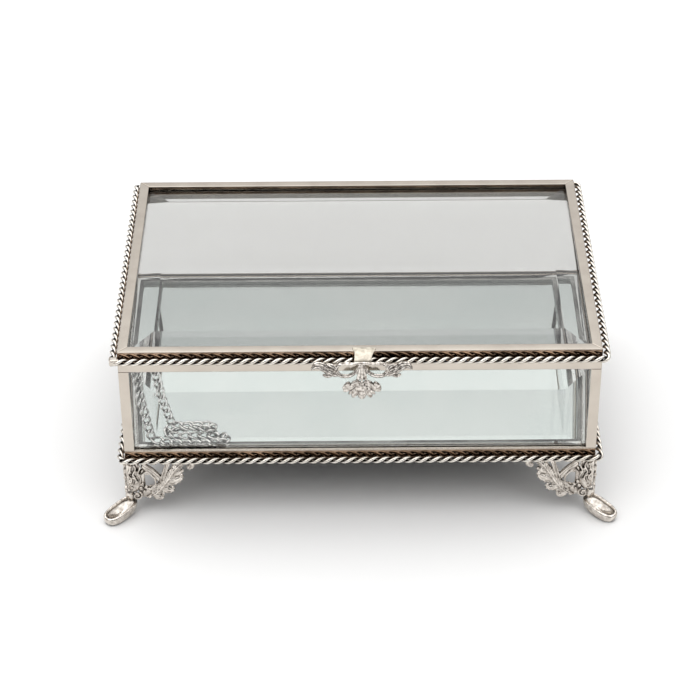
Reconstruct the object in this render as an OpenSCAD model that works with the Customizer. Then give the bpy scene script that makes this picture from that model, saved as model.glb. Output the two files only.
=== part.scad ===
// Footed glass vanity box: bevelled panes in soldered metal channel, a hinged
// lid, twisted rope trim, four cast corner feet, a mirror floor and a lid chain.
// Origin: on the table under the middle of the box. +X right, +Y back, +Z up.

/* [Box] */
// Width over the corner posts
box_w = 205; // [180:1:240]
// Depth over the corner posts
box_d = 140; // [125:1:170]
// Height of the feet, table to base rail
foot_h = 28; // [26:0.5:34]
// Height of the glass body, base rail to rim
body_h = 52; // [48:0.5:70]
// Height of the lid frame
lid_h = 6.3; // [6:0.1:8]
// Gap between the closed lid and the rim
lid_gap = 0.2; // [0.1:0.05:0.4]

/* [Channels] */
// Width of the metal channel round each pane
channel_w = 4.4; // [4.2:0.1:5.5]
// Height of the rim round the top of the body
rim_h = 4; // [3.5:0.1:5]
// Height of the base rail
base_rail_h = 6; // [5.5:0.1:8]
// Width of the channel round the mirror
mirror_channel_w = 3.8; // [3:0.1:5]

/* [Glass] */
// Thickness of the panes
glass_t = 3; // [2.6:0.1:3.4]
// Thickness of a pane at its bevelled edge
edge_t = 1.6; // [1.2:0.1:1.8]
// Width of the bevel, from the pane's edge
bevel_w = 13.2; // [10:0.1:15]
// Thickness of the mirror
mirror_t = 2.7; // [2.4:0.1:3]

/* [Rope trim] */
// Diameter of the twisted rope
rope_d = 3.2; // [2.6:0.1:3.6]
// Distance of the rope's middle from the frame's outer face
rope_out = 2.1; // [1.9:0.1:2.3]
// Height of the lid rope's middle above the lid's underside
lid_rope_up = 2.6; // [2.4:0.1:2.8]
// Height of the base rope's middle above the base rail's underside
base_rope_up = 2; // [1.8:0.1:2.4]

/* [Hinge] */
// Radius of the hinge tubes
knuckle_r = 1.6; // [1.4:0.1:1.7]
// Radius of the hinge pin
pin_r = 0.8; // [0.6:0.05:0.9]
// Distance of each hinge from the middle of the box
hinge_x = 62; // [40:1:75]

/* [Chain] */
// Length of one chain link along the chain
link_pitch = 4.15; // [4.05:0.05:4.2]
// Diameter of the plain bars that stand for the links
link_d = 1.6; // [1.4:0.1:1.7]

/* [Hidden] */
CHAIN_BARS = 22;
function two_digits(n) = str(n < 10 ? "0" : "", n);

body_top = foot_h + body_h;
lid_z = body_top + lid_gap;
base_rail_top = foot_h + base_rail_h;
rim_z = body_top - rim_h;

// Slots that hold the panes
play = 0.1;
slot_t = edge_t + 2 * play;
slot_out = 1.7;                    // frame's outer face to the wall panes' slot
slot_end = 1.4;                    // metal left outside the end of a pane
rim_slot = 2.6;                    // depth of the slot in the rim
flange_t = 0.7;                    // metal under the panes and the mirror
lid_slot_z = 2.4;                  // lid's underside to its slot
pane_back = slot_out + play + edge_t - glass_t;   // outer face of a wall pane's middle
pane_z = foot_h + flange_t + play;
pane_h = rim_z + rim_slot - play - pane_z;
bottom_bevel = 8.7;                // the wall panes' lower bevel is narrower
lid_end_bevel = 15.3;              // so are the lid's side bevels beside its front and back ones

// Mirror floor
mirror_slot_z = foot_h + 1.2;
mirror_z = mirror_slot_z + play;
mirror_in = 2.4;                   // how far the mirror goes into its channel
mirror_bevel = 11;
mirror_edge_t = 1.4;
mirror_channel_z = foot_h + 0.6;
mirror_channel_h = 5.1;

// Hinge line, behind the back face and just under the lid
hinge_y = box_d / 2 + knuckle_r + 0.6;
hinge_z = body_top - 0.8;
tube_l = 9;
tube_gap = 0.3;

// Lid chain: each bar's compass heading, climb and number of links, from the wall's eye
// down to the mirror, round the heap and up to the lid's eye
chain_steps = [
    [-10, -84, 5], [-10, -80, 5],
    [-20, 0, 2], [-4, 0, 2], [2, 0, 2], [4, 0, 1], [30, -8, 1], [95, -14, 1], [160, -4, 1],
    [176, 0, 2], [184, 0, 2], [170, 0, 1], [120, 0, 1], [50, 0, 1], [4, 0, 2], [0, 0, 2],
    [-60, 14, 1], [-130, 22, 1], [-170, 14, 2], [170, 4, 2],
    [-150, 76, 5], [-130, 80, 5]];
chain_start = [-box_w / 2 + 6.5, -box_d / 2 + 9.5, body_top - 4];
chain_trim = 1.3;                  // each bar stops short of the joints at its ends
function chain_run(i) = chain_steps[i][2] * link_pitch;
function chain_way(i) = let (h = chain_steps[i][0], c = chain_steps[i][1])
    [cos(c) * cos(h), cos(c) * sin(h), sin(c)];
function chain_point(i) =
    i == 0 ? chain_start : chain_point(i - 1) + chain_run(i - 1) * chain_way(i - 1);

// Cast foot
wing_t = 2.2;
wing_proud = 0.9;
toe_out = 6.6;
toe_r = 3.9;

// Clasp
clasp_y = -box_d / 2 - 6;
clasp_t = 1.6;
clasp_z = body_top + 4.2;          // top bar of the clasp

nickel = [0.80, 0.76, 0.72];
glass = [0.80, 0.87, 0.86, 0.35];
silvering = [0.74, 0.79, 0.78];

// Local frame of one side: x along it, y = 0 on its outer face and +y inward
module at_side(side) {
    if (side == "front") translate([0, -box_d / 2, 0]) children();
    if (side == "back") translate([0, box_d / 2, 0]) rotate([0, 0, 180]) children();
    if (side == "left") translate([-box_w / 2, 0, 0]) rotate([0, 0, -90]) children();
    if (side == "right") translate([box_w / 2, 0, 0]) rotate([0, 0, 90]) children();
}
function side_len(side) = side == "front" || side == "back" ? box_w : box_d;

// Local frame of one corner: the origin on its outer edge, +x and +y inward
module at_corner(right, back) {
    translate([right ? box_w / 2 : -box_w / 2, back ? box_d / 2 : -box_d / 2, 0])
        mirror([right ? 1 : 0, 0, 0]) mirror([0, back ? 1 : 0, 0]) children();
}

// A straight bar with both ends mitred for the corners
module mitred_bar(length, width, height) {
    linear_extrude(height) polygon([
        [-length / 2, 0], [length / 2, 0],
        [length / 2 - width, width], [-length / 2 + width, width]]);
}

module lid_rail(side) {
    length = side_len(side);
    color(nickel) at_side(side) translate([0, 0, lid_z]) difference() {
        mitred_bar(length, channel_w, lid_h);
        translate([-length / 2, slot_end, lid_slot_z]) cube([length, channel_w, slot_t]);
    }
}

module rim(side) {
    length = side_len(side);
    color(nickel) at_side(side) translate([0, 0, rim_z]) difference() {
        mitred_bar(length, channel_w, rim_h);
        translate([-length / 2, slot_out, -1]) cube([length, slot_t, rim_slot + 1]);
    }
}

module base_rail(side) {
    length = side_len(side);
    color(nickel) at_side(side) translate([0, 0, foot_h]) difference() {
        mitred_bar(length, channel_w, base_rail_h);
        translate([-length / 2, slot_out, flange_t]) cube([length, slot_t, base_rail_h]);
    }
}

// Corner angle: the panes stand in it, the long ones in a notch that keeps them in line
module post(right, back) {
    height = rim_z - base_rail_top;
    color(nickel) at_corner(right, back) translate([0, 0, base_rail_top]) difference() {
        cube([channel_w, channel_w, height]);
        translate([slot_out, slot_out, -1]) cube([channel_w, channel_w, height + 2]);
        translate([slot_end, slot_out, -1]) cube([channel_w, slot_t, height + 2]);
    }
}

// A sheet lying flat, as thick as edge round its rim and as thick as middle inside its bevel.
// tucked and bevel are where the bevel starts and ends, in from the [sides, front, back]
module bevelled_sheet(width, depth, edge, middle, tucked, bevel) {
    module inset(margin, thickness) {
        translate([margin[0], margin[1], 0])
            cube([width - 2 * margin[0], depth - margin[1] - margin[2], thickness]);
    }
    cube([width, depth, edge]);
    hull() {
        inset(tucked, edge);
        inset(bevel, middle);
    }
}

// A wall pane: flat on its inner face, bevelled on its outer one
module wall_pane(side, end) {
    length = side_len(side) - 2 * end;
    color(glass) at_side(side) translate([-length / 2, pane_back + glass_t, pane_z]) rotate([90, 0, 0])
        bevelled_sheet(length, pane_h, edge_t, glass_t,
            [channel_w - end + play, base_rail_top - pane_z + play, rim_slot],
            [bevel_w, bottom_bevel, bevel_w]);
}
// The front and back panes run behind the ends of the side panes
module long_pane(side) { wall_pane(side, slot_end + play); }
module short_pane(side) { wall_pane(side, slot_out + slot_t + play); }

module lid_glass() {
    end = slot_end + play;
    tucked = channel_w - slot_end;
    color(glass) translate([-box_w / 2 + end, -box_d / 2 + end, lid_z + lid_slot_z + play])
        bevelled_sheet(box_w - 2 * end, box_d - 2 * end, edge_t, glass_t,
            [tucked, tucked, tucked], [bevel_w, lid_end_bevel, lid_end_bevel]);
}

module mirror_channel() {
    color(nickel) for (side = ["front", "back", "left", "right"])
        at_side(side) translate([0, channel_w, mirror_channel_z]) difference() {
            mitred_bar(side_len(side) - 2 * channel_w, mirror_channel_w, mirror_channel_h);
            translate([-box_w / 2, mirror_channel_w - mirror_in - play,
                       mirror_slot_z - mirror_channel_z])
                cube([box_w, mirror_channel_w, mirror_edge_t + 2 * play]);
        }
}

module base_mirror() {
    end = channel_w + mirror_channel_w - mirror_in;
    tucked = mirror_in + play;
    color(silvering) translate([-box_w / 2 + end, -box_d / 2 + end, mirror_z])
        bevelled_sheet(box_w - 2 * end, box_d - 2 * end, mirror_edge_t, mirror_t,
            [tucked, tucked, tucked], [mirror_bevel, mirror_bevel, mirror_bevel]);
}

// Board glued under the mirror
module base_backing() {
    inset = channel_w + mirror_channel_w + play;
    color([0.10, 0.10, 0.11]) translate([-box_w / 2 + inset, -box_d / 2 + inset, foot_h + 0.3])
        cube([box_w - 2 * inset, box_d - 2 * inset, mirror_z - foot_h - 0.3]);
}

// Rope all round the frame, with round bends at the corners and solder between
module rope(z) {
    bend = rope_out;
    color(nickel) translate([0, 0, z]) {
        for (side = ["front", "back", "left", "right"]) at_side(side) {
            translate([-side_len(side) / 2, -rope_out, 0])
                rotate([0, 90, 0]) cylinder(h = side_len(side), d = rope_d, $fn = 32);
            for (x = [-side_len(side) / 2 + 3, 0, side_len(side) / 2 - 3])
                translate([x, 0, 0]) rotate([90, 0, 0]) cylinder(h = rope_out, r = 0.9, $fn = 24);
        }
        for (right = [false, true], back = [false, true])
            at_corner(right, back) rotate([0, 0, 180])
                rotate_extrude(angle = 90, $fn = 48) translate([bend, 0]) circle(d = rope_d, $fn = 32);
    }
}

// Strip that hangs from the lid's front rail, over the rope, and carries the clasp
module lid_tab() {
    top = lid_z + lid_h;
    out = -box_d / 2;
    color(nickel) translate([-4.7, 0, 0]) rotate([90, 0, 90]) linear_extrude(9.4) polygon([
        [out + 2.8, top], [out + 2.8, top + 0.5], [out - 0.3, top + 0.5], [out - 4.4, top - 2.2],
        [out - 4.4, clasp_z - 5.5], [out - 3.9, clasp_z - 5.5], [out - 3.9, top - 2.5], [out - 0.2, top]]);
}

function oval(rx, rz) = [for (a = [0:15:345]) [rx * cos(a), rz * sin(a)]];

// Cast ornament: top bar, two open scrolls, two leaves and a hanging half flower.
// Drawn in x and z from the middle of the top bar, each shape with its own thickness
module cast(thickness) {
    translate([0, clasp_y + clasp_t, clasp_z]) rotate([90, 0, 0])
        linear_extrude(thickness) children();
}
module lid_clasp() {
    color(nickel) {
        cast(clasp_t) translate([-10.5, -1.2]) square([21, 1.2]);
        cast(clasp_t - 0.1) polygon([[-3.7, -0.3], [3.7, -0.3], [2.6, -11.4], [-2.6, -11.4]]);
        cast(clasp_t - 0.05) translate([0, -13]) circle(r = 3.4, $fn = 24);
        cast(clasp_t - 0.2) translate([0, -17.2]) rotate(90) polygon(oval(3.1, 1.7));
        for (s = [0, 1]) mirror([s, 0, 0]) {
            cast(clasp_t - 0.15) translate([5.9, -4.9]) difference() {
                polygon(oval(4.6, 2.9));
                polygon(oval(2.9, 1.3));
            }
            cast(clasp_t - 0.25) polygon([[9, -0.6], [13, -3.4], [17.5, -3], [20.6, -0.6],
                [21.6, -2], [20.5, -5], [17, -7], [13, -7.6], [9, -7.8]]);
            cast(clasp_t - 0.3) translate([5, -14]) rotate(-28) polygon(oval(3.8, 2.3));
            cast(clasp_t - 0.35) translate([2.6, -17]) rotate(-68) polygon(oval(3.4, 2));
        }
    }
}

// Small soldered ring, its hole along y, with a stub to the metal beside it
module chain_eye(centre, stub) {
    color(nickel) translate(centre) {
        rotate([90, 0, 0]) rotate_extrude($fn = 32) translate([1.5, 0]) circle(r = 0.45, $fn = 16);
        rotate([0, -90, 0]) translate([0, 0, 1.3]) cylinder(h = stub, r = 0.5, $fn = 16);
    }
}
module body_chain_eye() {
    chain_eye(chain_point(0) + [-0.1, 0, 1.45], 0.7);
}
module lid_chain_eye() {
    color(nickel) translate(chain_point(CHAIN_BARS) + [0, -1.1, 1.4]) {
        rotate([0, 90, 0]) rotate_extrude($fn = 32)
            translate([1.5, 0]) circle(r = 0.45, $fn = 16);
        translate([0, -0.9, 1.2]) rotate([90, 0, 0]) cylinder(h = 3.15, r = 0.5, $fn = 16);
    }
}

// Three tubes on one line make each hinge: the body's outer two, the lid's middle one
module hinge_tube(x, bore) {
    translate([x - tube_l / 2 + tube_gap / 2, hinge_y, hinge_z]) rotate([0, 90, 0]) difference() {
        cylinder(h = tube_l - tube_gap, r = knuckle_r, $fn = 48);
        translate([0, 0, -1]) cylinder(h = tube_l + 2, r = bore, $fn = 48);
    }
}
module hinge_tubes_body() {
    color(nickel) for (s = [-1, 1], k = [-1, 1]) {
        x = s * hinge_x + k * tube_l;
        difference() {
            union() {
                hinge_tube(x, pin_r);
                translate([x - tube_l / 2 + tube_gap / 2, box_d / 2, hinge_z - 1.4])
                    cube([tube_l - tube_gap, hinge_y - box_d / 2 - 1, 1.5]);
            }
            translate([x - tube_l, hinge_y, hinge_z]) rotate([0, 90, 0])
                cylinder(h = 2 * tube_l, r = pin_r, $fn = 48);
        }
    }
}
module hinge_tubes_lid() {
    color(nickel) for (s = [-1, 1]) {
        hinge_tube(s * hinge_x, pin_r + 0.05);
        translate([s * hinge_x - tube_l / 2 + tube_gap / 2, box_d / 2, hinge_z + 1.1])
            cube([tube_l - tube_gap, hinge_y - box_d / 2 - 0.6, 0.9]);
    }
}
module hinge_pins() {
    color(nickel) for (s = [-1, 1])
        translate([s * hinge_x - 1.5 * tube_l, hinge_y, hinge_z]) rotate([0, 90, 0])
            cylinder(h = 3 * tube_l, r = pin_r, $fn = 48);
}

// One wing of a foot: pierced leaf scroll under the rail, x away from the corner
module foot_wing() {
    top = foot_h;
    rotate([90, 0, 0]) linear_extrude(wing_t) difference() {
        polygon([[0, top], [30, top], [30.4, top - 2.6], [28, top - 3.8], [26, top - 7.6],
                 [22.4, top - 10.6], [21, top - 13], [17.6, top - 17], [14, top - 18],
                 [12, top - 22.2], [6, top - 23], [0, top - 21]]);
        polygon([[7, top - 1.3], [16, top - 1.3], [12, top - 8.6]]);
        translate([8.4, top - 11]) circle(r = 1.7, $fn = 24);
    }
}

module foot(right, back) {
    color(nickel) at_corner(right, back) {
        translate([0, wing_t - wing_proud, 0]) foot_wing();
        mirror([1, -1, 0]) translate([0, wing_t - wing_proud, 0]) foot_wing();
        translate([-wing_proud, -wing_proud, 5]) cube([channel_w, channel_w, foot_h - 5]);
        hull() {
            translate([-toe_out, -toe_out, 0]) cylinder(h = 4.6, r = toe_r, $fn = 32);
            translate([0.8, 0.8, 7]) sphere(r = 3.2, $fn = 24);
        }
    }
}

// Plain bar for a straight stretch of the chain
module chain_bar(i) {
    color(nickel) translate(chain_point(i))
        rotate([0, 90 - chain_steps[i][1], chain_steps[i][0]]) translate([0, 0, chain_trim])
            cylinder(h = chain_run(i) - 2 * chain_trim, d = link_d, $fn = 24);
}

lid_glass();
lid_rail("front");  // lid_rail_front
lid_rail("back");  // lid_rail_back
lid_rail("left");  // lid_rail_left
lid_rail("right");  // lid_rail_right
rope(lid_z + lid_rope_up);  // lid_rope
lid_tab();
lid_clasp();
lid_chain_eye();
hinge_tubes_lid();
long_pane("front");  // glass_front
long_pane("back");  // glass_back
short_pane("left");  // glass_left
short_pane("right");  // glass_right
post(false, false);  // post_front_left
post(true, false);  // post_front_right
post(false, true);  // post_back_left
post(true, true);  // post_back_right
rim("front");  // rim_front
rim("back");  // rim_back
rim("left");  // rim_left
rim("right");  // rim_right
base_rail("front");  // base_rail_front
base_rail("back");  // base_rail_back
base_rail("left");  // base_rail_left
base_rail("right");  // base_rail_right
mirror_channel();
base_mirror();
base_backing();
rope(foot_h + base_rope_up);  // base_rope
hinge_tubes_body();
hinge_pins();
body_chain_eye();
foot(false, false);  // foot_front_left
foot(true, false);  // foot_front_right
foot(false, true);  // foot_back_left
foot(true, true);  // foot_back_right
for (i = [0:CHAIN_BARS - 1])
    chain_bar(i);
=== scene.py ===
from math import cos, pi, radians, sin

import bmesh
import bpy
from mathutils import Matrix, Vector, noise


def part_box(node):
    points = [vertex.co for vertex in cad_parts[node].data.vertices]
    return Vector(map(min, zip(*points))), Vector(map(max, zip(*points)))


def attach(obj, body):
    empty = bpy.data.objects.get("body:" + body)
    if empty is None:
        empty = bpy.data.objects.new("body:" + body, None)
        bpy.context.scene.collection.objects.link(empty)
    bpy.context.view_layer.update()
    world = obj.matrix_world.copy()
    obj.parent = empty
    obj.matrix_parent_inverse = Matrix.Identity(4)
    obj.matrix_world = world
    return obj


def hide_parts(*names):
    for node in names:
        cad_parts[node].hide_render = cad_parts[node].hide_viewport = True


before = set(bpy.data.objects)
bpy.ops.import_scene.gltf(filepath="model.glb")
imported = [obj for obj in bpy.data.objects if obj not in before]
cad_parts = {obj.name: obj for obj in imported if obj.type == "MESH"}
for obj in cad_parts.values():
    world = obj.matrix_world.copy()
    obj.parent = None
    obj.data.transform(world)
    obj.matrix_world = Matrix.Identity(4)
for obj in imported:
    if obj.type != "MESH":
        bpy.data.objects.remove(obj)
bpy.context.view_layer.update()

mm = 0.001
mergeGap = 0.002  # mm

scene = bpy.context.scene
scene.view_settings.view_transform = "Standard"


# Camera and studio

camera = {
    "place": (-0.00616, -0.82095, 0.6147),
    "yaw": 0.153,  # degrees to the right
    "pitch": 35.1,  # degrees down
    "roll": -0.32,
    "lens": 112.18,
    "sensor": 36,
    "clip": (0.05, 50),
}

studio = {
    "floorRadius": 5.0,
    "floorSides": 48,
    "floorColour": (0.90, 0.898, 0.895, 1),
    # Brightness round the box by height, 0 at the horizon and 1 straight up
    "wall": [(0.0, 0.10), (0.24, 0.16), (0.36, 0.82), (0.53, 0.93),
             (0.56, 1.0), (0.60, 1.30), (0.70, 1.7), (1.0, 1.75)],
    "room": 0.22,  # the dark room behind the camera
    "roomTowards": (0.10, -0.93, 0.35),
    "roomEdge": (0.84, 0.94),  # how nearly a ray points there when the dark starts and when it is full
    "softbox": 1.2,  # watts
    "softboxSize": (1.2, 0.8),
    "softboxPlace": (-0.5, 0.1, 1.3),
}


def placeCamera():
    data = bpy.data.cameras.new("camera")
    data.lens, data.sensor_width = camera["lens"], camera["sensor"]
    data.clip_start, data.clip_end = camera["clip"]
    cam = bpy.data.objects.new("camera", data)
    scene.collection.objects.link(cam)
    cam.matrix_world = (
        Matrix.Translation(camera["place"])
        @ Matrix.Rotation(radians(-camera["yaw"]), 4, "Z")
        @ Matrix.Rotation(radians(90 - camera["pitch"]), 4, "X")
        @ Matrix.Rotation(radians(camera["roll"]), 4, "Z")
    )
    scene.camera = cam


def ramp(nodes, stops):
    node = nodes.new("ShaderNodeValToRGB")
    elements = node.color_ramp.elements
    elements[0].position, elements[1].position = stops[0][0], stops[-1][0]
    for place, _ in stops[1:-1]:
        elements.new(place)
    for element, (_, colour) in zip(elements, stops):
        element.color = (*colour, 1)
    return node


def grey(value):
    return (value, value, value)


def lightTheRoom():
    world = bpy.data.worlds.new("studio")
    scene.world = world
    world.use_nodes = True
    nodes, links = world.node_tree.nodes, world.node_tree.links
    where = nodes.new("ShaderNodeTexCoord")
    split = nodes.new("ShaderNodeSeparateXYZ")
    links.new(where.outputs["Generated"], split.inputs[0])
    up = ramp(nodes, [(height, grey(light)) for height, light in studio["wall"]])
    links.new(split.outputs["Z"], up.inputs[0])
    towards = nodes.new("ShaderNodeVectorMath")
    towards.operation = "DOT_PRODUCT"
    towards.inputs[1].default_value = studio["roomTowards"]
    links.new(where.outputs["Generated"], towards.inputs[0])
    start, full = studio["roomEdge"]
    dark = ramp(nodes, [(start, grey(0)), (full, grey(1))])
    links.new(towards.outputs["Value"], dark.inputs[0])
    mix = nodes.new("ShaderNodeMix")
    mix.data_type = "RGBA"
    links.new(dark.outputs[0], mix.inputs["Factor"])
    links.new(up.outputs[0], mix.inputs["A"])
    mix.inputs["B"].default_value = (*grey(studio["room"]), 1)
    links.new(mix.outputs["Result"], nodes["Background"].inputs["Color"])
    light = bpy.data.lights.new("softbox", "AREA")
    light.shape = "RECTANGLE"
    light.size, light.size_y = studio["softboxSize"]
    light.energy = studio["softbox"]
    lamp = bpy.data.objects.new("softbox", light)
    scene.collection.objects.link(lamp)
    lamp.location = studio["softboxPlace"]
    lamp.rotation_euler = Vector(lamp.location).to_track_quat("Z", "Y").to_euler()


def layFloor(material):
    bm = bmesh.new()
    bmesh.ops.create_circle(bm, cap_ends=True, segments=studio["floorSides"], radius=studio["floorRadius"])
    mesh = bpy.data.meshes.new("floor")
    bm.to_mesh(mesh)
    bm.free()
    floor = bpy.data.objects.new("floor", mesh)
    scene.collection.objects.link(floor)
    mesh.materials.append(material)


# Materials

def blank(name):
    material = bpy.data.materials.new(name)
    material.use_nodes = True
    nodes = material.node_tree.nodes
    return material, nodes, material.node_tree.links, nodes["Principled BSDF"]


def grain(nodes, links, scale, detail):
    place = nodes.new("ShaderNodeTexCoord")
    texture = nodes.new("ShaderNodeTexNoise")
    texture.inputs["Scale"].default_value = scale
    texture.inputs["Detail"].default_value = detail
    links.new(place.outputs["Object"], texture.inputs["Vector"])
    return texture.outputs["Fac"]


# Colours a socket of the shader from a value, by a ramp
def tone(nodes, links, value, stops, socket):
    tones = ramp(nodes, stops)
    links.new(value, tones.inputs[0])
    links.new(tones.outputs["Color"], socket)


def bump(nodes, links, shader, height, strength, distance):
    node = nodes.new("ShaderNodeBump")
    node.inputs["Strength"].default_value = strength
    node.inputs["Distance"].default_value = distance * mm
    links.new(height, node.inputs["Height"])
    links.new(node.outputs["Normal"], shader.inputs["Normal"])


plate = {
    "clouds": 90,  # scale of the cloudy tint
    "cloudDetail": 5,
    "darkBelow": 0.35,
    "lightAbove": 0.62,
    # painted shade: the colour that grooves, hollows and crevices are darkened towards
    "darkening": (0.05, 0.036, 0.027),
    "aoSamples": 8,
    "polish": 420,  # scale of the change in polish
    "polishDetail": 3,
    "smoothBelow": 0.3,
    "roughAbove": 0.75,
    "rippleDetail": 3,
}


# Nickel plate. Light and dark are its tints, rough the range of its polish, and ripple the scale, strength
# and height in mm of its waves. Groove, edge and crevice paint shade into its colour: groove and edge give
# the values between which it goes from painted shade to its full tint, and crevice a reach in mm and then
# those values
def nickel(name, light, dark, rough, ripple, clouds=plate["clouds"], groove=None, edge=None, crevice=None):
    material, nodes, links, shader = blank(name)
    shader.inputs["Metallic"].default_value = 1
    cloud = grain(nodes, links, clouds, plate["cloudDetail"])
    tint = ramp(nodes, [(plate["darkBelow"], dark), (plate["lightAbove"], light)])
    links.new(cloud, tint.inputs[0])
    colour = tint.outputs["Color"]

    # Multiplies the colour by painted shade, full at start and gone by end
    def darken(source, start, end):
        nonlocal colour
        shade = ramp(nodes, [(start, plate["darkening"]), (end, grey(1))])
        links.new(source, shade.inputs[0])
        mix = nodes.new("ShaderNodeMix")
        mix.data_type, mix.blend_type = "RGBA", "MULTIPLY"
        mix.inputs["Factor"].default_value = 1
        links.new(colour, mix.inputs["A"])
        links.new(shade.outputs["Color"], mix.inputs["B"])
        colour = mix.outputs["Result"]

    if groove:
        mask = nodes.new("ShaderNodeAttribute")
        mask.attribute_name = "depth"
        darken(mask.outputs["Fac"], *groove)
    if edge:
        darken(nodes.new("ShaderNodeNewGeometry").outputs["Pointiness"], *edge)
    if crevice:
        shut = nodes.new("ShaderNodeAmbientOcclusion")
        shut.inputs["Distance"].default_value = crevice[0] * mm
        shut.samples = plate["aoSamples"]
        darken(shut.outputs["AO"], *crevice[1:])
    links.new(colour, shader.inputs["Base Color"])
    polish = grain(nodes, links, plate["polish"], plate["polishDetail"])
    gloss = [(plate["smoothBelow"], grey(rough[0])), (plate["roughAbove"], grey(rough[1]))]
    tone(nodes, links, polish, gloss, shader.inputs["Roughness"])
    scale, strength, height = ripple
    bump(nodes, links, shader, grain(nodes, links, scale, plate["rippleDetail"]), strength, height)
    return material


glass = {
    "bending": 1.5,
    "waveScale": 9,
    "waveStrength": 0.02,
    "waveHeight": 0.4,  # mm
    "lid": (0.68, 0.675, 0.665, 1),
    "sides": (0.875, 0.882, 0.875, 1),
}


def clearGlass(name, tint):
    material, nodes, links, shader = blank(name)
    shader.inputs["Base Color"].default_value = tint
    shader.inputs["Transmission Weight"].default_value = 1
    shader.inputs["Roughness"].default_value = 0.0
    shader.inputs["IOR"].default_value = glass["bending"]
    wave = grain(nodes, links, glass["waveScale"], 1)
    bump(nodes, links, shader, wave, glass["waveStrength"], glass["waveHeight"])
    see = nodes.new("ShaderNodeBsdfTransparent")
    see.inputs["Color"].default_value = tint
    path = nodes.new("ShaderNodeLightPath")
    mix = nodes.new("ShaderNodeMixShader")  # lamps shine straight through
    links.new(path.outputs["Is Shadow Ray"], mix.inputs["Fac"])
    links.new(shader.outputs[0], mix.inputs[1])
    links.new(see.outputs[0], mix.inputs[2])
    links.new(mix.outputs[0], nodes["Material Output"].inputs["Surface"])
    return material


def silvering():
    material, nodes, links, shader = blank("silvering")
    shader.inputs["Metallic"].default_value = 1
    shader.inputs["Roughness"].default_value = 0.02
    tints = [(0.4, (0.80, 0.865, 0.85)), (0.6, (0.83, 0.885, 0.87))]
    tone(nodes, links, grain(nodes, links, 25, 3), tints, shader.inputs["Base Color"])
    return material


def backingCard():
    material, nodes, links, shader = blank("backingCard")
    shader.inputs["Roughness"].default_value = 0.9
    fibres = grain(nodes, links, 1500, 6)
    tints = [(0.35, (0.018, 0.018, 0.02)), (0.65, (0.05, 0.05, 0.055))]
    tone(nodes, links, fibres, tints, shader.inputs["Base Color"])
    bump(nodes, links, shader, fibres, 0.4, 0.1)
    return material


def paleFloor():
    material, _, _, shader = blank("paleFloor")
    shader.inputs["Base Color"].default_value = studio["floorColour"]
    shader.inputs["Roughness"].default_value = 0.8
    return material


# In these materials, groove, edge and crevice are painted shade: darker deep in the rope's grooves, in the
# castings' hollows and near other surfaces
channelNickel = nickel("channelNickel", light=(0.585, 0.53, 0.465), dark=(0.535, 0.48, 0.42),
                       rough=(0.10, 0.20), ripple=(60, 0.05, 0.6), crevice=(2.5, 0.05, 0.5))
# Painted shade: dark brown for the rails' upright faces behind the ropes
creaseNickel = nickel("creaseNickel", light=(0.34, 0.24, 0.17), dark=(0.15, 0.105, 0.075),
                      rough=(0.04, 0.12), ripple=(300, 0.1, 0.2), crevice=(2.0, 0.2, 0.7))
floorNickel = nickel("floorNickel", light=(0.88, 0.89, 0.87), dark=(0.80, 0.81, 0.79),
                     rough=(0.05, 0.12), ripple=(200, 0.2, 0.3))
darkStripNickel = nickel("darkStripNickel", light=(0.42, 0.42, 0.40), dark=(0.05, 0.05, 0.048),
                       rough=(0.06, 0.18), ripple=(200, 0.2, 0.4), clouds=40)
ropeNickel = nickel("ropeNickel", light=(0.84, 0.80, 0.74), dark=(0.70, 0.65, 0.58),
                    rough=(0.12, 0.22), ripple=(700, 0.12, 0.12), groove=(0.56, 0.78),
                    crevice=(1.3, 0.15, 0.62))
castNickel = nickel("castNickel", light=(0.84, 0.785, 0.72), dark=(0.46, 0.415, 0.37),
                    rough=(0.10, 0.24), ripple=(1000, 0.5, 0.15), clouds=450, edge=(0.42, 0.51),
                    crevice=(1.8, 0.2, 0.75))
claspNickel = nickel("claspNickel", light=(0.88, 0.83, 0.77), dark=(0.26, 0.225, 0.195),
                     rough=(0.08, 0.22), ripple=(900, 0.8, 0.2), clouds=750, edge=(0.44, 0.512),
                     crevice=(1.2, 0.35, 0.85))
plainNickel = nickel("plainNickel", light=(0.66, 0.61, 0.55), dark=(0.55, 0.50, 0.445),
                     rough=(0.16, 0.30), ripple=(500, 0.2, 0.2))
chainNickel = nickel("chainNickel", light=(0.95, 0.95, 0.93), dark=(0.78, 0.78, 0.76),
                     rough=(0.05, 0.14), ripple=(900, 0.1, 0.1), crevice=(1.9, 0.45, 0.92))
solderTin = nickel("solderTin", light=(0.66, 0.61, 0.52), dark=(0.46, 0.415, 0.34),
                   rough=(0.32, 0.50), ripple=(900, 0.9, 0.25), clouds=700, crevice=(1.0, 0.2, 0.7))
lidGlass = clearGlass("lidGlass", glass["lid"])
sideGlass = clearGlass("sideGlass", glass["sides"])
mirrorMaterial = silvering()
cardMaterial = backingCard()


# Making pieces. Shapes are built in millimetres

def toPiece(name, bm, body, material, replaced=(), sharpAngle=35):
    bmesh.ops.remove_doubles(bm, verts=bm.verts, dist=mergeGap)
    bmesh.ops.recalc_face_normals(bm, faces=bm.faces)
    bmesh.ops.scale(bm, vec=(mm, mm, mm), verts=bm.verts)
    mesh = bpy.data.meshes.new(name)
    bm.to_mesh(mesh)
    bm.free()
    mesh.materials.append(material)
    mesh.polygons.foreach_set("use_smooth", [True] * len(mesh.polygons))
    mesh.set_sharp_from_angle(angle=radians(sharpAngle))
    piece = bpy.data.objects.new(name, mesh)
    scene.collection.objects.link(piece)
    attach(piece, body)
    if replaced:
        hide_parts(*replaced)
    return piece


def millimetres(node):
    low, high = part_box(node)
    return low / mm, high / mm


# In degrees: edges flatter than flat are dissolved, and those over sharp are rounded
cadEdges = {"flat": 1, "sharp": 25, "segments": 2}


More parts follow.
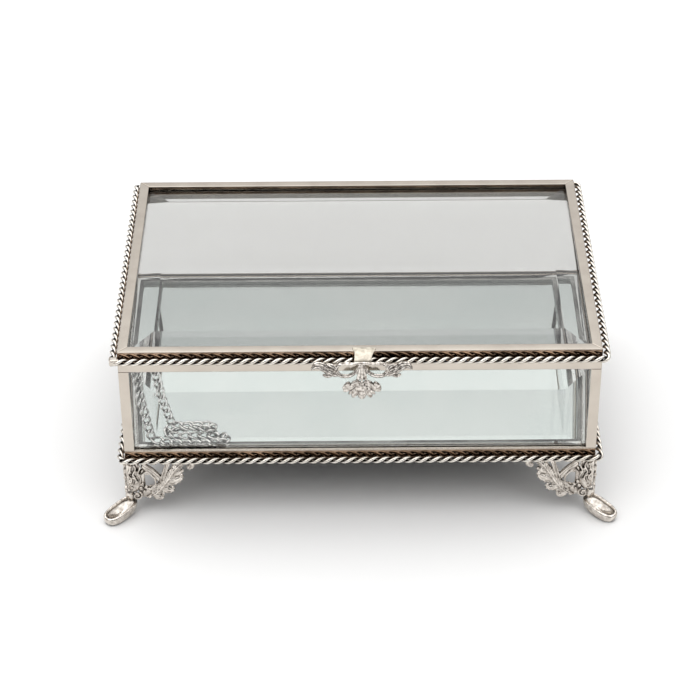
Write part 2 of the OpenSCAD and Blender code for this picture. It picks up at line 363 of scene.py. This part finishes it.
# A CAD solid with its doubles merged and its sharp edges rounded
def rounded(node, radius):
    bm = bmesh.new()
    bm.from_mesh(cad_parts[node].data)
    bmesh.ops.scale(bm, vec=(1 / mm,) * 3, verts=bm.verts)
    bmesh.ops.remove_doubles(bm, verts=bm.verts, dist=mergeGap)
    bmesh.ops.dissolve_limit(bm, angle_limit=radians(cadEdges["flat"]), verts=bm.verts, edges=bm.edges)
    edges = [e for e in bm.edges if e.calc_face_angle(0) > radians(cadEdges["sharp"])]
    bmesh.ops.bevel(bm, geom=edges, offset=radius, offset_type="OFFSET", affect="EDGES",
                    segments=cadEdges["segments"], profile=0.5, material=-1, clamp_overlap=True)
    return bm


sides = ("front", "back", "left", "right")
corners = ("front_left", "front_right", "back_left", "back_right")

channels = {
    "edgeRound": 0.35,
    "postRound": 0.3,
    "flatness": 80,  # how far the flats' own direction outweighs the rounded edges'
    "mirrorOpening": (94.3, 61.8),  # half size of the opening in the channel round the mirror
    "darkening": 2.0,  # width darkened along that opening
}


# Keeps the flats of a rounded bar flat in its shading
def flatten(piece):
    weigh = piece.modifiers.new("flats", "WEIGHTED_NORMAL")
    weigh.keep_sharp, weigh.weight = True, channels["flatness"]
    return piece


# The channel round the mirror is darker, in patches, along the inner part of its top
def makeMirrorChannel():
    bm = rounded("mirror_channel", channels["edgeRound"])
    inner = Vector((*channels["mirrorOpening"], 0)) + Vector((1, 1, 0)) * channels["darkening"]
    for axis in (0, 1):
        for way in (1, -1):
            across = Vector((way if axis == 0 else 0, way if axis == 1 else 0, 0))
            bmesh.ops.bisect_plane(bm, geom=bm.verts[:] + bm.edges[:] + bm.faces[:], dist=mergeGap,
                                   plane_co=across * inner[axis], plane_no=across)
    for face in bm.faces:
        middle = face.calc_center_median()
        within = abs(middle.x) < inner.x and abs(middle.y) < inner.y
        face.material_index = int(face.normal.z > 0.7 and within)
    piece = flatten(toPiece("mirrorChannelPolished", bm, "box", floorNickel, ["mirror_channel"]))
    piece.data.materials.append(darkStripNickel)


def makeChannels():
    for side in sides:
        for body, node in (("lid", "lid_rail_" + side), ("box", "rim_" + side), ("box", "base_rail_" + side)):
            bm = rounded(node, channels["edgeRound"])
            if "rail" in node:  # the upright faces behind the rope are painted dark brown, as painted shade
                for face in bm.faces:
                    face.material_index = int(abs(face.normal.z) < 0.3)
            piece = flatten(toPiece(node + "Polished", bm, body, channelNickel, [node]))
            piece.data.materials.append(creaseNickel)
    for corner in corners:
        node = "post_" + corner
        post = rounded(node, channels["postRound"])
        flatten(toPiece(node + "Polished", post, "box", channelNickel, [node]))
    makeMirrorChannel()
    print("channels made")


def dress(node, material):
    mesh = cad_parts[node].data
    mesh.materials.clear()
    mesh.materials.append(material)


mirror = {
    "slotTop": 30.55,  # height at which the rim leaves its slot
    "shown": 31.84,  # height at which the bevel starts
    "lip": 2.55,
    "wall": 0.05,
    "bevel": 4.6,
}


# The mirror: a thin rim in its slot, then a shallow bevel up to the flat
def makeMirror():
    low, high = millimetres("base_mirror")
    middle = (low + high) / 2
    bm = bmesh.new()
    bmesh.ops.create_grid(bm, x_segments=1, y_segments=1, size=0.5)
    bmesh.ops.scale(bm, vec=(high.x - low.x, high.y - low.y, 1), verts=bm.verts)
    bmesh.ops.translate(bm, vec=(middle.x, middle.y, low.z), verts=bm.verts)
    top = bmesh.ops.extrude_face_region(bm, geom=list(bm.faces), use_keep_orig=True)["geom"]
    raised = [v for v in top if isinstance(v, bmesh.types.BMVert)]
    bmesh.ops.translate(bm, vec=(0, 0, mirror["slotTop"] - low.z), verts=raised)
    bmesh.ops.recalc_face_normals(bm, faces=bm.faces)
    steps = [(mirror["lip"], 0), (mirror["wall"], mirror["shown"] - mirror["slotTop"]),
             (mirror["bevel"], high.z - mirror["shown"])]
    for inwards, up in steps:
        flat = [max(bm.faces, key=lambda face: face.calc_center_median().z)]
        bmesh.ops.inset_region(bm, faces=flat, thickness=inwards, use_even_offset=True)
        bmesh.ops.translate(bm, vec=(0, 0, up), verts=flat[0].verts)
    toPiece("mirrorPlate", bm, "box", mirrorMaterial, ["base_mirror"], sharpAngle=1)


def dressGlass():
    dress("lid_glass", lidGlass)
    for side in sides:
        dress("glass_" + side, sideGlass)
    makeMirror()
    dress("base_backing", cardMaterial)
    print("glass dressed")


# A closed skin: a grid wrapped round by shape(share along, angle round). Its seam is merged later
def addSkin(bm, along, around, shape):
    for v in bmesh.ops.create_grid(bm, x_segments=along, y_segments=around, size=0.5)["verts"]:
        v.co = shape(v.co.x + 0.5, (v.co.y + 0.5) * 2 * pi)


# Smooth line through given points, at a share of its length
def between(points, share):
    place = min(max(share, 0), 0.9999) * (len(points) - 1)
    i, t = int(place), place % 1
    a, b, c, d = (Vector(points[min(max(k, 0), len(points) - 1)]) for k in (i - 1, i, i + 1, i + 2))
    return b + ((c - a) + (2 * a - 5 * b + 4 * c - d + (3 * b - a - 3 * c + d) * t) * t) * t / 2


# Which way that line runs there
def aheadOn(points, share):
    return between(points, share + 0.02) - between(points, share - 0.02)


# Rope: two strands laid left-handed round the frame

rope = {
    "lidTurn": 8.8,  # length of one turn of a strand
    "baseTurn": 9.2,
    "strandRadius": 0.75,
    "strandOut": 0.85,  # how far a strand's middle lies from the rope's
    "stepsPerTurn": 14,
    "strandSides": 10,
}


# Point and outward direction at a distance along a rectangle with rounded corners
def roundTheBox(distance, halfX, halfY, bend):
    runs = [2 * (halfX - bend), pi / 2 * bend, 2 * (halfY - bend), pi / 2 * bend] * 2
    starts = [(-halfX + bend, -halfY), (halfX, -halfY + bend), (halfX - bend, halfY), (-halfX, halfY - bend)]
    distance %= sum(runs)
    for i, run in enumerate(runs):
        if distance <= run:
            break
        distance -= run
    heading = i // 2 * pi / 2
    ahead, out = Vector((cos(heading), sin(heading), 0)), Vector((sin(heading), -cos(heading), 0))
    corner = Vector((*starts[i // 2], 0))
    if i % 2 == 0:
        return corner + ahead * distance, out
    turned = Matrix.Rotation(distance / bend, 3, "Z") @ out
    return corner + ahead * runs[i - 1] + (turned - out) * bend, turned


def makeRope(name, node, body, turn):
    low, high = millimetres(node)
    reach = (high.z - low.z) / 2
    halfX, halfY, z = high.x - reach, high.y - reach, (low.z + high.z) / 2
    bend = halfX - millimetres("base_rail_right")[1].x
    around = 4 * (halfX + halfY - 2 * bend) + 2 * pi * bend
    turns = round(around / turn)
    bm = bmesh.new()
    for start in (0, pi):
        def strand(share, angle):
            lay = start + share * turns * 2 * pi
            spoke = Vector((0, cos(lay), sin(lay)))
            winding = Vector((0, -sin(lay), cos(lay))) * turns * 2 * pi * rope["strandOut"]
            side = (Vector((around, 0, 0)) + winding).normalized().cross(spoke)
            out = rope["strandOut"] + rope["strandRadius"] * cos(angle)
            return Vector((share * around, 0, 0)) + spoke * out + side * rope["strandRadius"] * sin(angle)
        addSkin(bm, turns * rope["stepsPerTurn"], rope["strandSides"], strand)
    # depth, out from the rope's middle, is read by the material to paint shade deep in the grooves
    depth = bm.verts.layers.float.new("depth")
    for v in bm.verts:
        v[depth] = Vector((v.co.y, v.co.z)).length / reach
        point, out = roundTheBox(v.co.x, halfX, halfY, bend)
        v.co = point + out * v.co.y + Vector((0, 0, z + v.co.z))
    toPiece(name, bm, body, ropeNickel, [node], sharpAngle=180)


# Chain: flat curb links, so many to each straight stretch

chain = {
    "pitch": 4.15,
    "wire": 0.56,  # radius
    "width": 4.3,
    "twist": 42,  # degrees at each end
    "steps": 18,
    "sides": 8,
    "steep": 0.7,  # a stretch that climbs more than this hangs, and one that climbs less lies in the heap
    "hangingFaces": (0.25, -1, 0.1),
    "lyingFaces": (0, -0.3, 1),
}


def addLink(bm, place):
    halfLong, halfWide = chain["pitch"] / 2 + chain["wire"], chain["width"] / 2 - chain["wire"]

    def link(share, angle):
        ahead = Vector((cos(share * 2 * pi), sin(share * 2 * pi), 0))
        out = chain["wire"] * cos(angle)
        point = Vector((ahead.x * (halfLong + out), ahead.y * (halfWide + out), chain["wire"] * sin(angle)))
        return place @ (Matrix.Rotation(radians(chain["twist"]) * ahead.x, 3, "X") @ point)
    addSkin(bm, chain["steps"], chain["sides"], link)


def makeChain():
    for node in sorted(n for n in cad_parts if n.startswith("chain_")):
        points = [v.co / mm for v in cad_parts[node].data.vertices]
        middle = sum(points, Vector()) / len(points)
        far = max(points, key=lambda point: (point - middle).length) - middle
        end = sum((point - middle for point in points if (point - middle).dot(far) > 0), Vector())
        along = end.normalized()
        long = 2 * max((point - middle).dot(along) for point in points)
        count = int(long / chain["pitch"]) + 1
        facing = chain["hangingFaces"] if abs(along.z) > chain["steep"] else chain["lyingFaces"]
        side = Vector(facing).cross(along).normalized()
        turn = Matrix((along, side, along.cross(side))).transposed().to_4x4()
        bm = bmesh.new()
        for i in range(count):
            addLink(bm, Matrix.Translation(middle + along * chain["pitch"] * (i - (count - 1) / 2)) @ turn)
        toPiece(node + "Links", bm, node, chainNickel, [node], sharpAngle=180)
    print("chain made")


# Castings: strokes and beads of metal, run together into one skin

castSkin = {
    "steps": 6,  # for each of a stroke's points
    "sides": 10,
    "blunt": 1.2,  # how much of the way to its first point a stroke's end is rounded over
    "beadSegments": 14,
    "beadRings": 9,
    "spiralPoints": 8,  # to a turn
    "spiralShrink": 0.86,
    "smooth": 0.45,
    "rounds": 1,
}


# One stroke in the x-z plane, facing -y: listed points, widths along it, thickness, lift towards -y
def addStroke(bm, points, widths, thick, lift):
    flat = [(x, -lift, z) for x, z in points]
    reach = castSkin["blunt"] / len(points)

    def stroke(share, angle):
        side = aheadOn(flat, share).cross(Vector((0, 1, 0))).normalized()
        edge = min(share, 1 - share, reach) / reach
        swell = (1 - (1 - edge) ** 2) ** 0.5
        width = between([(w, 0, 0) for w in widths], share).x * swell / 2
        rise = Vector((0, thick / 2 * (0.4 + 0.6 * swell) * sin(angle), 0))
        return between(flat, share) + side * width * cos(angle) + rise
    addSkin(bm, castSkin["steps"] * len(points), castSkin["sides"], stroke)


def addBead(bm, place, radii, turn=0.0):
    spot = Matrix.Translation(place) @ Matrix.Rotation(radians(turn), 4, "Y") @ Matrix.Diagonal((*radii, 1))
    bmesh.ops.create_uvsphere(bm, u_segments=castSkin["beadSegments"], v_segments=castSkin["beadRings"],
                              radius=1, matrix=spot)


def addSpiral(bm, centre, outer, turns, width, thick, lift, way, start):
    count = int(turns * castSkin["spiralPoints"]) + 1
    points = []
    for i in range(count):
        share, angle = i / (count - 1), radians(start) + way * turns * 2 * pi * i / (count - 1)
        radius = outer * (1 - castSkin["spiralShrink"] * share)
        points.append((centre[0] + radius * cos(angle), centre[1] + radius * sin(angle)))
    addStroke(bm, points, [width, width, width * 0.7], thick, lift)
    addBead(bm, (centre[0], -lift, centre[1]), (width * 0.7, thick * 0.7, width * 0.7))


def fuse(piece, voxel):
    cast = piece.modifiers.new("cast", "REMESH")
    cast.mode, cast.voxel_size, cast.use_smooth_shade = "VOXEL", voxel * mm, True
    soften = piece.modifiers.new("soften", "SMOOTH")
    soften.factor, soften.iterations = castSkin["smooth"], castSkin["rounds"]


# Feet: two pierced scroll wings and a spoon-shaped toe

foot = {
    "voxel": 0.23,
    "depth": 0.25,  # the wings' middle lies this far inside the frame's face
    "thick": 2.0,
    "ribThick": 1.1,
    "bead": 0.62,  # radius of the smallest
    "beadStep": 0.12,  # how much larger each of the two larger kinds is
    "ankle": ((0.9, 0.9, 9.2), (2.1, 2.1, 3.8)),  # middle and radii of the lump behind the wings' joint
    "toeMiddle": 4.7,  # along the diagonal, out from the corner
    "toeLong": 8.6,
    "toeWide": 4.5,
    "toeDeep": 5.2,
    "toeRise": 0.16,
    "toeHollow": 0.7,
    "toeRim": 0.78,
    "toeBoxy": 0.76,  # 1 is an oval, and less is fuller
}

# Strokes of one wing: points (along the face from the corner, height), widths, extra lift
wingStrokes = [
    ([(3, 28.4), (3, 22), (3, 16), (3.4, 10.5)], [6.4, 6.2, 6, 5.4], -0.5),
    ([(7.2, 25.6), (9.8, 22.6), (12.8, 19.2), (14.8, 15.4)], [4.4, 3.2, 2.6, 3.2], -0.1),
    ([(5, 9.6), (9, 10.2), (13, 12.6)], [6, 5.4, 5], -0.3),
    ([(7.2, 23), (6.8, 17), (7, 12)], [3.2, 2.6, 3.4], -0.4),
    ([(10.4, 8.2), (14, 11.2), (17.4, 15.4), (20.2, 19.6), (23, 23.2), (26.2, 25.6)],
     [4.6, 6, 5.6, 5, 4.2, 3.2], 0.1),
    ([(17.5, 14.6), (20.6, 15), (23.2, 16.2), (24.6, 18.2)], [3.6, 3.8, 3.2, 1.6], 0.35),
    ([(15.4, 12), (17.6, 10.6), (19.4, 10.6), (20.4, 12.2)], [3.4, 3.4, 2.8, 1.4], 0.35),
    ([(11.5, 8.6), (13.4, 7.2), (15, 7.2), (15.9, 8.6)], [3, 2.8, 2.4, 1.2], 0.35),
    ([(20.2, 18.8), (22.8, 19.4), (25, 20.8)], [3, 2.8, 1.4], 0.2),
    ([(23.6, 25), (26.8, 25.7), (29.1, 24.4), (29.2, 22.4), (27.8, 21.7), (26.8, 22.7)],
     [3.4, 3, 2.7, 2.2, 1.8, 1.4], 0.35),
    ([(15.6, 16.6), (16.8, 20.4), (18.2, 24), (19.4, 27.6)], [2.6, 2.4, 2.2, 2.4], 0.15),
    ([(6.6, 27.6), (9, 25.4), (11.4, 23.2), (13.4, 20.8), (15, 18)], [1.5, 1.5, 1.4, 1.3, 1.2], 0.65),
]
# Raised lines: stems, leaf rims and curls
wingRibs = [
    ([(11, 8.4), (14.6, 11.6), (18, 16.2), (20.8, 20.6), (23.8, 24.2), (27, 25.6)], 0.9),
    ([(18, 14.2), (21, 14.2), (23.6, 15.6), (25, 18)], 0.75),
    ([(16.4, 10.8), (18.4, 9.8), (20, 10.4), (20.8, 12)], 0.7),
    ([(12.4, 7.4), (14, 6.5), (15.6, 6.9), (16.2, 8.4)], 0.7),
    ([(16, 16), (17.4, 20.2), (18.8, 24), (20, 27)], 0.55),
    ([(14.6, 15.2), (15.4, 18.6), (16.6, 22.4), (17.6, 26.4)], 0.55),
    ([(0.8, 27.4), (2, 24.6), (1, 21.4), (2.4, 18.2), (1, 15)], 0.8),
    ([(3.2, 27.2), (4.2, 24.4), (3, 21.2), (4.2, 18), (3, 15)], 0.8),
    ([(5.4, 27), (6.2, 24.6), (5.2, 21.6), (6.2, 18.4), (5.6, 15.4)], 0.7),
    ([(6.8, 20.6), (8.6, 22), (10.6, 20.6), (12.6, 17.4), (12.2, 14), (9.8, 12.8), (7.4, 14)], 0.85),
    ([(9.4, 12), (12, 13), (13.8, 15.2)], 0.7),
    ([(8.2, 8), (10.6, 9.6), (12.6, 11)], 0.7),
]
wingBeads = [
    (4.3, 22.8), (5.6, 20.6), (3.4, 19.6), (4.6, 17), (7.0, 15.6), (6.2, 13.4), (8.6, 14.2),
    (2.2, 25.8), (24.3, 18.4), (20.2, 12.4), (15.8, 8.8), (1.7, 17.8), (2.2, 14), (24.8, 20.9),
    (9.2, 21.4), (7.6, 11.6), (27.7, 23), (9.8, 8.4), (10.9, 10.9), (1.6, 22.8),
]
wingVeins = [(0, 11, 2.4), (1, 5, 1.2), (2, 4, 1.1)]  # on which raised line, how many pairs, how long
# Middle, outer radius, turns, width, thickness, lift, way round, start in degrees
wingSpirals = [((4.4, 9.7), 2.2, 1.5, 0.9, 1.5, 0.1, -1, 70), ((11.9, 12.6), 1.7, 1.1, 0.75, 1.2, 0, 1, 40)]


# Short side veins along a raised line
def addVeins(bm, points, count, reach, top):
    flat = [(x, 0, z) for x, z in points]
    for i in range(count):
        share = (i + 0.6) / count
        root, ahead = between(flat, share), aheadOn(flat, share).normalized()
        for way in (1, -1):
            leaning = ahead * 0.7 + Vector((ahead.z, 0, -ahead.x)) * way
            tip = root + leaning * reach * sin(pi * (0.3 + 0.55 * share))
            half = (root + tip) / 2
            addStroke(bm, [(root.x, root.z), (half.x, half.z), (tip.x, tip.z)], [0.5, 0.5, 0.4], 0.8, top)


def addWing(bm):
    face = -foot["depth"]
    for points, widths, lift in wingStrokes:
        addStroke(bm, points, widths, foot["thick"], face + lift)
    top = face + foot["thick"] / 2
    for points, width in wingRibs:
        addStroke(bm, points, [width, width, width * 0.6], foot["ribThick"], top)
    for line, count, reach in wingVeins:
        addVeins(bm, wingRibs[line][0], count, reach, top - 0.1)
    for i, (x, z) in enumerate(wingBeads):
        size = foot["bead"] + foot["beadStep"] * (i % 3)
        addBead(bm, (x, -top, z), (size, size * 0.9, size))
    for centre, outer, turns, width, thick, lift, way, start in wingSpirals:
        addSpiral(bm, centre, outer, turns, width, thick, top + lift, way, start)


def addToe(bm):
    ball = bmesh.ops.create_uvsphere(bm, u_segments=36, v_segments=18, radius=1)["verts"]

    def boxy(value):
        return abs(value) ** foot["toeBoxy"] * (1 if value > 0 else -1)
    for v in ball:
        spread = v.co.x ** 2 + v.co.y ** 2
        if v.co.z > 0.01:
            v.co.z = -foot["toeHollow"] * (1 - spread)
        elif v.co.z < -0.01:
            v.co.z = -((1 - spread ** 2) ** 0.5)
        if spread > 0:
            far = spread ** 0.5
            v.co.x, v.co.y = boxy(v.co.x / far) * far, boxy(v.co.y / far) * far
    middle = Matrix.Translation((foot["toeMiddle"], 0, foot["toeDeep"]))
    place = Matrix.Rotation(radians(-135), 4, "Z") @ middle
    scale = Matrix.Diagonal((foot["toeLong"], foot["toeWide"], foot["toeDeep"], 1))
    for v in ball:
        v.co = place @ (scale @ v.co)
    rim = foot["toeRim"]

    def edge(share, angle):
        across, along = boxy(cos(share * 2 * pi)), boxy(sin(share * 2 * pi))
        out = rim * cos(angle) - rim
        oval = Vector((across * (foot["toeLong"] + out), along * (foot["toeWide"] + out), rim * sin(angle)))
        return place @ oval
    addSkin(bm, 44, 8, edge)
    for v in bm.verts:
        v.co.z = max(v.co.z + (v.co.x + v.co.y) / 2 ** 0.5 * foot["toeRise"], 0)


# One foot, its corner at the origin, as a mesh the four corners share
def castFoot():
    bm = bmesh.new()
    addWing(bm)
    twin = bmesh.ops.duplicate(bm, geom=bm.verts[:] + bm.edges[:] + bm.faces[:])["geom"]
    swap = Matrix(((0, 1, 0, 0), (1, 0, 0, 0), (0, 0, 1, 0), (0, 0, 0, 1)))  # the wing round the corner
    bmesh.ops.transform(bm, matrix=swap, verts=[v for v in twin if isinstance(v, bmesh.types.BMVert)])
    addToe(bm)
    addBead(bm, *foot["ankle"])
    bmesh.ops.remove_doubles(bm, verts=bm.verts, dist=mergeGap)
    mesh = bpy.data.meshes.new("footCast")
    bm.to_mesh(mesh)
    bm.free()
    return mesh


def makeFoot(corner, mesh):
    bm = bmesh.new()
    bm.from_mesh(mesh)
    low, high = millimetres("post_" + corner)
    right, back = low.x > 0, low.y > 0
    edge = Vector((high.x if right else low.x, high.y if back else low.y, 0))
    flip = Matrix.Diagonal((-1 if right else 1, -1 if back else 1, 1, 1))
    railBottom = millimetres("base_rail_front")[0].z
    bmesh.ops.transform(bm, matrix=Matrix.Translation(edge) @ flip, verts=bm.verts)
    for v in bm.verts:
        v.co.z = min(v.co.z, railBottom)
    node = "foot_" + corner
    piece = toPiece(node + "Cast", bm, "box", castNickel, [node], sharpAngle=180)
    fuse(piece, foot["voxel"])


# Clasp: a cast scroll with a hanging half flower, and the strip that carries it

clasp = {
    "voxel": 0.17,
    "thick": 1.3,
    "shift": 0.8,  # right of the middle
    "lift": -0.15,
    "ridge": [0.5, 0.55, 0.4],  # widths of the raised line along each stroke
    "ridgeThick": 0.7,
    "bar": ([(-4, -0.6), (0, -0.6), (4, -0.6)], [1.4, 1.5, 1.4]),
    "flutes": [(-1, -0.8), (0, 0), (1, 0.8)],  # place across, and how far each spreads by its foot
    "fluteWidths": [1.3, 1.4, 1.9],
    "petalRibs": (-0.45, 0.45),  # shares of a petal's width
    "rings": [(1.8, 8), (3.1, 11)],  # radius and number of beads
    "ringBead": (0.58, 0.5, 0.58),
    "drops": [(0, -15), (-0.9, -16.6), (0.9, -16.6), (0, -18)],
    "drop": (0.6, 0.4, 0.8),
}
# Right half: points (across, height from the bar), widths, lift
claspStrokes = [
    ([(3.2, -0.7), (6.5, -0.7), (10, -0.8)], [1.5, 1.5, 1.6], 0.1),
    ([(1.4, -1.4), (2.2, -4.4), (5.2, -6.8), (8.8, -6.8), (10.9, -4.4), (10.3, -1.8), (8.8, -1.4)],
     [1.3, 1.8, 1.9, 2, 2, 1.7, 1.2], 0.2),
    ([(9.4, -6.6), (12.6, -5.8), (15.8, -3.8), (18.4, -2), (20.4, -2.6), (21, -4)],
     [2.2, 2.8, 2.6, 2.4, 2, 1.2], 0.2),
    ([(10.6, -3.4), (13, -1.8), (14.8, -0.7)], [2.2, 2.1, 1.1], 0.0),
    ([(14, -3.4), (16.6, -1.2), (19.2, -0.8), (20.8, -1.5)], [2.2, 2.2, 1.8, 1], 0.1),
    ([(12.4, -6.2), (14.6, -7), (16.6, -6.2)], [2, 1.9, 1.1], 0.1),
    ([(11, -5), (12.4, -3.6), (14.8, -2.6)], [2, 2.2, 1.6], -0.1),
]
# Place, half length, half width, turn in degrees
claspPetals = [
    ((5.3, -12.9), 3.4, 1.5, 38), ((6.6, -12), 2.6, 1.2, 56), ((2.9, -15.9), 2.7, 1.3, 64),
    ((2.8, -10.8), 2.2, 1.5, 28), ((4, -14.6), 2.6, 0.9, 50),
]


def makeClasp():
    low, high = millimetres("lid_clasp")
    middle = Vector(((low.x + high.x) / 2 + clasp["shift"], (low.y + high.y) / 2, high.z))
    bm = bmesh.new()
    top = clasp["thick"] / 2
    for points, widths, lift in claspStrokes:
        for way in (1, -1):
            line = [(way * x, z) for x, z in points]
            addStroke(bm, line, widths, clasp["thick"], lift + clasp["lift"])
            addStroke(bm, line, clasp["ridge"], clasp["ridgeThick"], top + lift + clasp["lift"])
    addStroke(bm, *clasp["bar"], clasp["thick"], 0)
    for x, spread in clasp["flutes"]:
        addStroke(bm, [(x, -1), (x, -4.5), (x + spread, -9.5)], clasp["fluteWidths"], clasp["thick"] + 0.1, 0)
    for place, long, wide, turn in claspPetals:
        for way in (1, -1):
            spot = (way * place[0], -0.1, place[1])
            addBead(bm, spot, (long, clasp["thick"] * 0.62, wide), way * turn)
            across = Vector((sin(radians(way * turn)), 0, cos(radians(way * turn))))
            for side in clasp["petalRibs"]:
                rib = Vector((spot[0], -top + 0.1, spot[2])) + across * side * wide
                addBead(bm, rib, (long * 0.75, 0.3, wide * 0.2), way * turn)
    addBead(bm, (0, -0.2, -16.4), (1.9, 0.8, 2.6))
    addBead(bm, (-0.5, -0.45, -13.2), (2.6, 0.75, 2.5))
    for ring, count in clasp["rings"]:
        for i in range(count):
            angle = i / count * 2 * pi
            spot = (ring * cos(angle), -top + 0.1 * ring, -11 + ring * 0.9 * sin(angle))
            addBead(bm, spot, clasp["ringBead"])
    for x, z in clasp["drops"]:
        addBead(bm, (x, -top, z), clasp["drop"])
    addBead(bm, (0, -top - 0.1, -10.6), (0.9, 0.5, 0.9))
    for v in bm.verts:
        v.co += middle
    piece = toPiece("claspCast", bm, "lid", claspNickel, ["lid_clasp"], sharpAngle=180)
    fuse(piece, clasp["voxel"])


tab = {
    "voxel": 0.16,
    "thick": 0.36,
    "widths": [10.2, 9.8, 8.6, 7.6, 7.2, 7.4],
    "wave": 0.7,
    "shift": 1.8,  # right of the middle
    "sink": 0.4,  # below the top of its solid
    # Its middle line, from the rail's front edge and then from the clasp's bar
    "onRail": [(0, 2.0, 0.1), (0, 0.9, 0), (0, -0.5, -0.15), (-0.3, -2.2, -0.9)],
    "onBar": [(-0.7, 0.15, -0.1), (-0.8, -0.2, -1.7)],
}


# The strip soldered to the lid's front rail, hammered over its edge to the clasp's bar
def makeTab():
    top = millimetres("lid_tab")[1].z - tab["sink"]
    front = millimetres("lid_rail_front")[0].y
    bar = millimetres("lid_clasp")[1]
    run = [(tab["shift"] + x, front + y, top + z) for x, y, z in tab["onRail"]]
    run += [(tab["shift"] + x, bar.y + y, bar.z + z) for x, y, z in tab["onBar"]]
    bm = bmesh.new()

    def strip(share, angle):
        point, ahead = between(run, share), aheadOn(run, share).normalized()
        up = Vector((1, 0, 0)).cross(ahead)
        edge = min(share, 1 - share, 0.05) / 0.05
        across = max(-1, min(1, 1.35 * cos(angle)))
        half = between([(w, 0, 0) for w in tab["widths"]], share).x / 2 * (0.9 + 0.1 * edge ** 0.5)
        ripple = noise.noise(Vector((across * 2.2, share * 5, 3))) * tab["wave"]
        rise = tab["thick"] * edge ** 0.5 * (1 if abs(across) < 1 else 0.6) * sin(angle)
        point = point + Vector((across * half, 0, 0)) + up * (rise + ripple * 0.3)
        return point + ahead * ripple * (1 - share) * 1.6
    addSkin(bm, 36, 20, strip)
    piece = toPiece("claspStrip", bm, "lid", solderTin, ["lid_tab"], sharpAngle=180)
    fuse(piece, tab["voxel"])


join = {
    "inwards": (2.5, 2.3),  # from the rope's outer corner
    "turn": 12,  # degrees
    "size": (4.2, 3.4, 3.0),
    "edgeRound": 0.7,
    "dentScale": 0.9,
    "dents": 0.16,
    "seed": 7,
}


# Where the lid's rope ends meet, they are pressed into a small plate
def makeRopeJoin():
    low, high = millimetres("lid_rope")
    corner = Vector((low.x + join["inwards"][0], low.y + join["inwards"][1], (low.z + high.z) / 2))
    place = Matrix.Translation(corner) @ Matrix.Rotation(radians(join["turn"]), 4, "Z")
    bm = bmesh.new()
    bmesh.ops.create_cube(bm, size=1, matrix=place @ Matrix.Diagonal((*join["size"], 1)))
    bmesh.ops.bevel(bm, geom=bm.edges[:], offset=join["edgeRound"], offset_type="OFFSET", affect="EDGES",
                    segments=3, profile=0.5, material=-1)
    bmesh.ops.subdivide_edges(bm, edges=bm.edges[:], cuts=2, use_grid_fill=True)
    noise.seed_set(join["seed"])
    for v in bm.verts:
        v.co += noise.noise_vector(v.co * join["dentScale"]) * join["dents"]
    toPiece("ropeJoin", bm, "lid", plainNickel, sharpAngle=180)


# Hinges and the chain's eyes

fittings = {"edgeRound": 0.08}


def makeFittings():
    for body, node in (("lid", "hinge_tubes_lid"), ("box", "hinge_tubes_body"), ("box", "hinge_pins")):
        bm = rounded(node, fittings["edgeRound"])
        toPiece(node + "Plated", bm, body, plainNickel, [node])
    for body, node in (("lid", "lid_chain_eye"), ("box", "body_chain_eye")):
        bm = bmesh.new()
        bm.from_mesh(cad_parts[node].data)
        bmesh.ops.scale(bm, vec=(1 / mm,) * 3, verts=bm.verts)
        toPiece(node + "Wire", bm, body, chainNickel, [node], sharpAngle=50)
    print("fittings made")


placeCamera()
lightTheRoom()
layFloor(paleFloor())
makeChannels()
dressGlass()
makeRope("lidRope", "lid_rope", "lid", rope["lidTurn"])
makeRope("baseRope", "base_rope", "box", rope["baseTurn"])
print("ropes made")
makeChain()
makeFittings()
oneFoot = castFoot()
for corner in corners:
    makeFoot(corner, oneFoot)
print("feet made")
makeClasp()
makeTab()
makeRopeJoin()
print("clasp made")
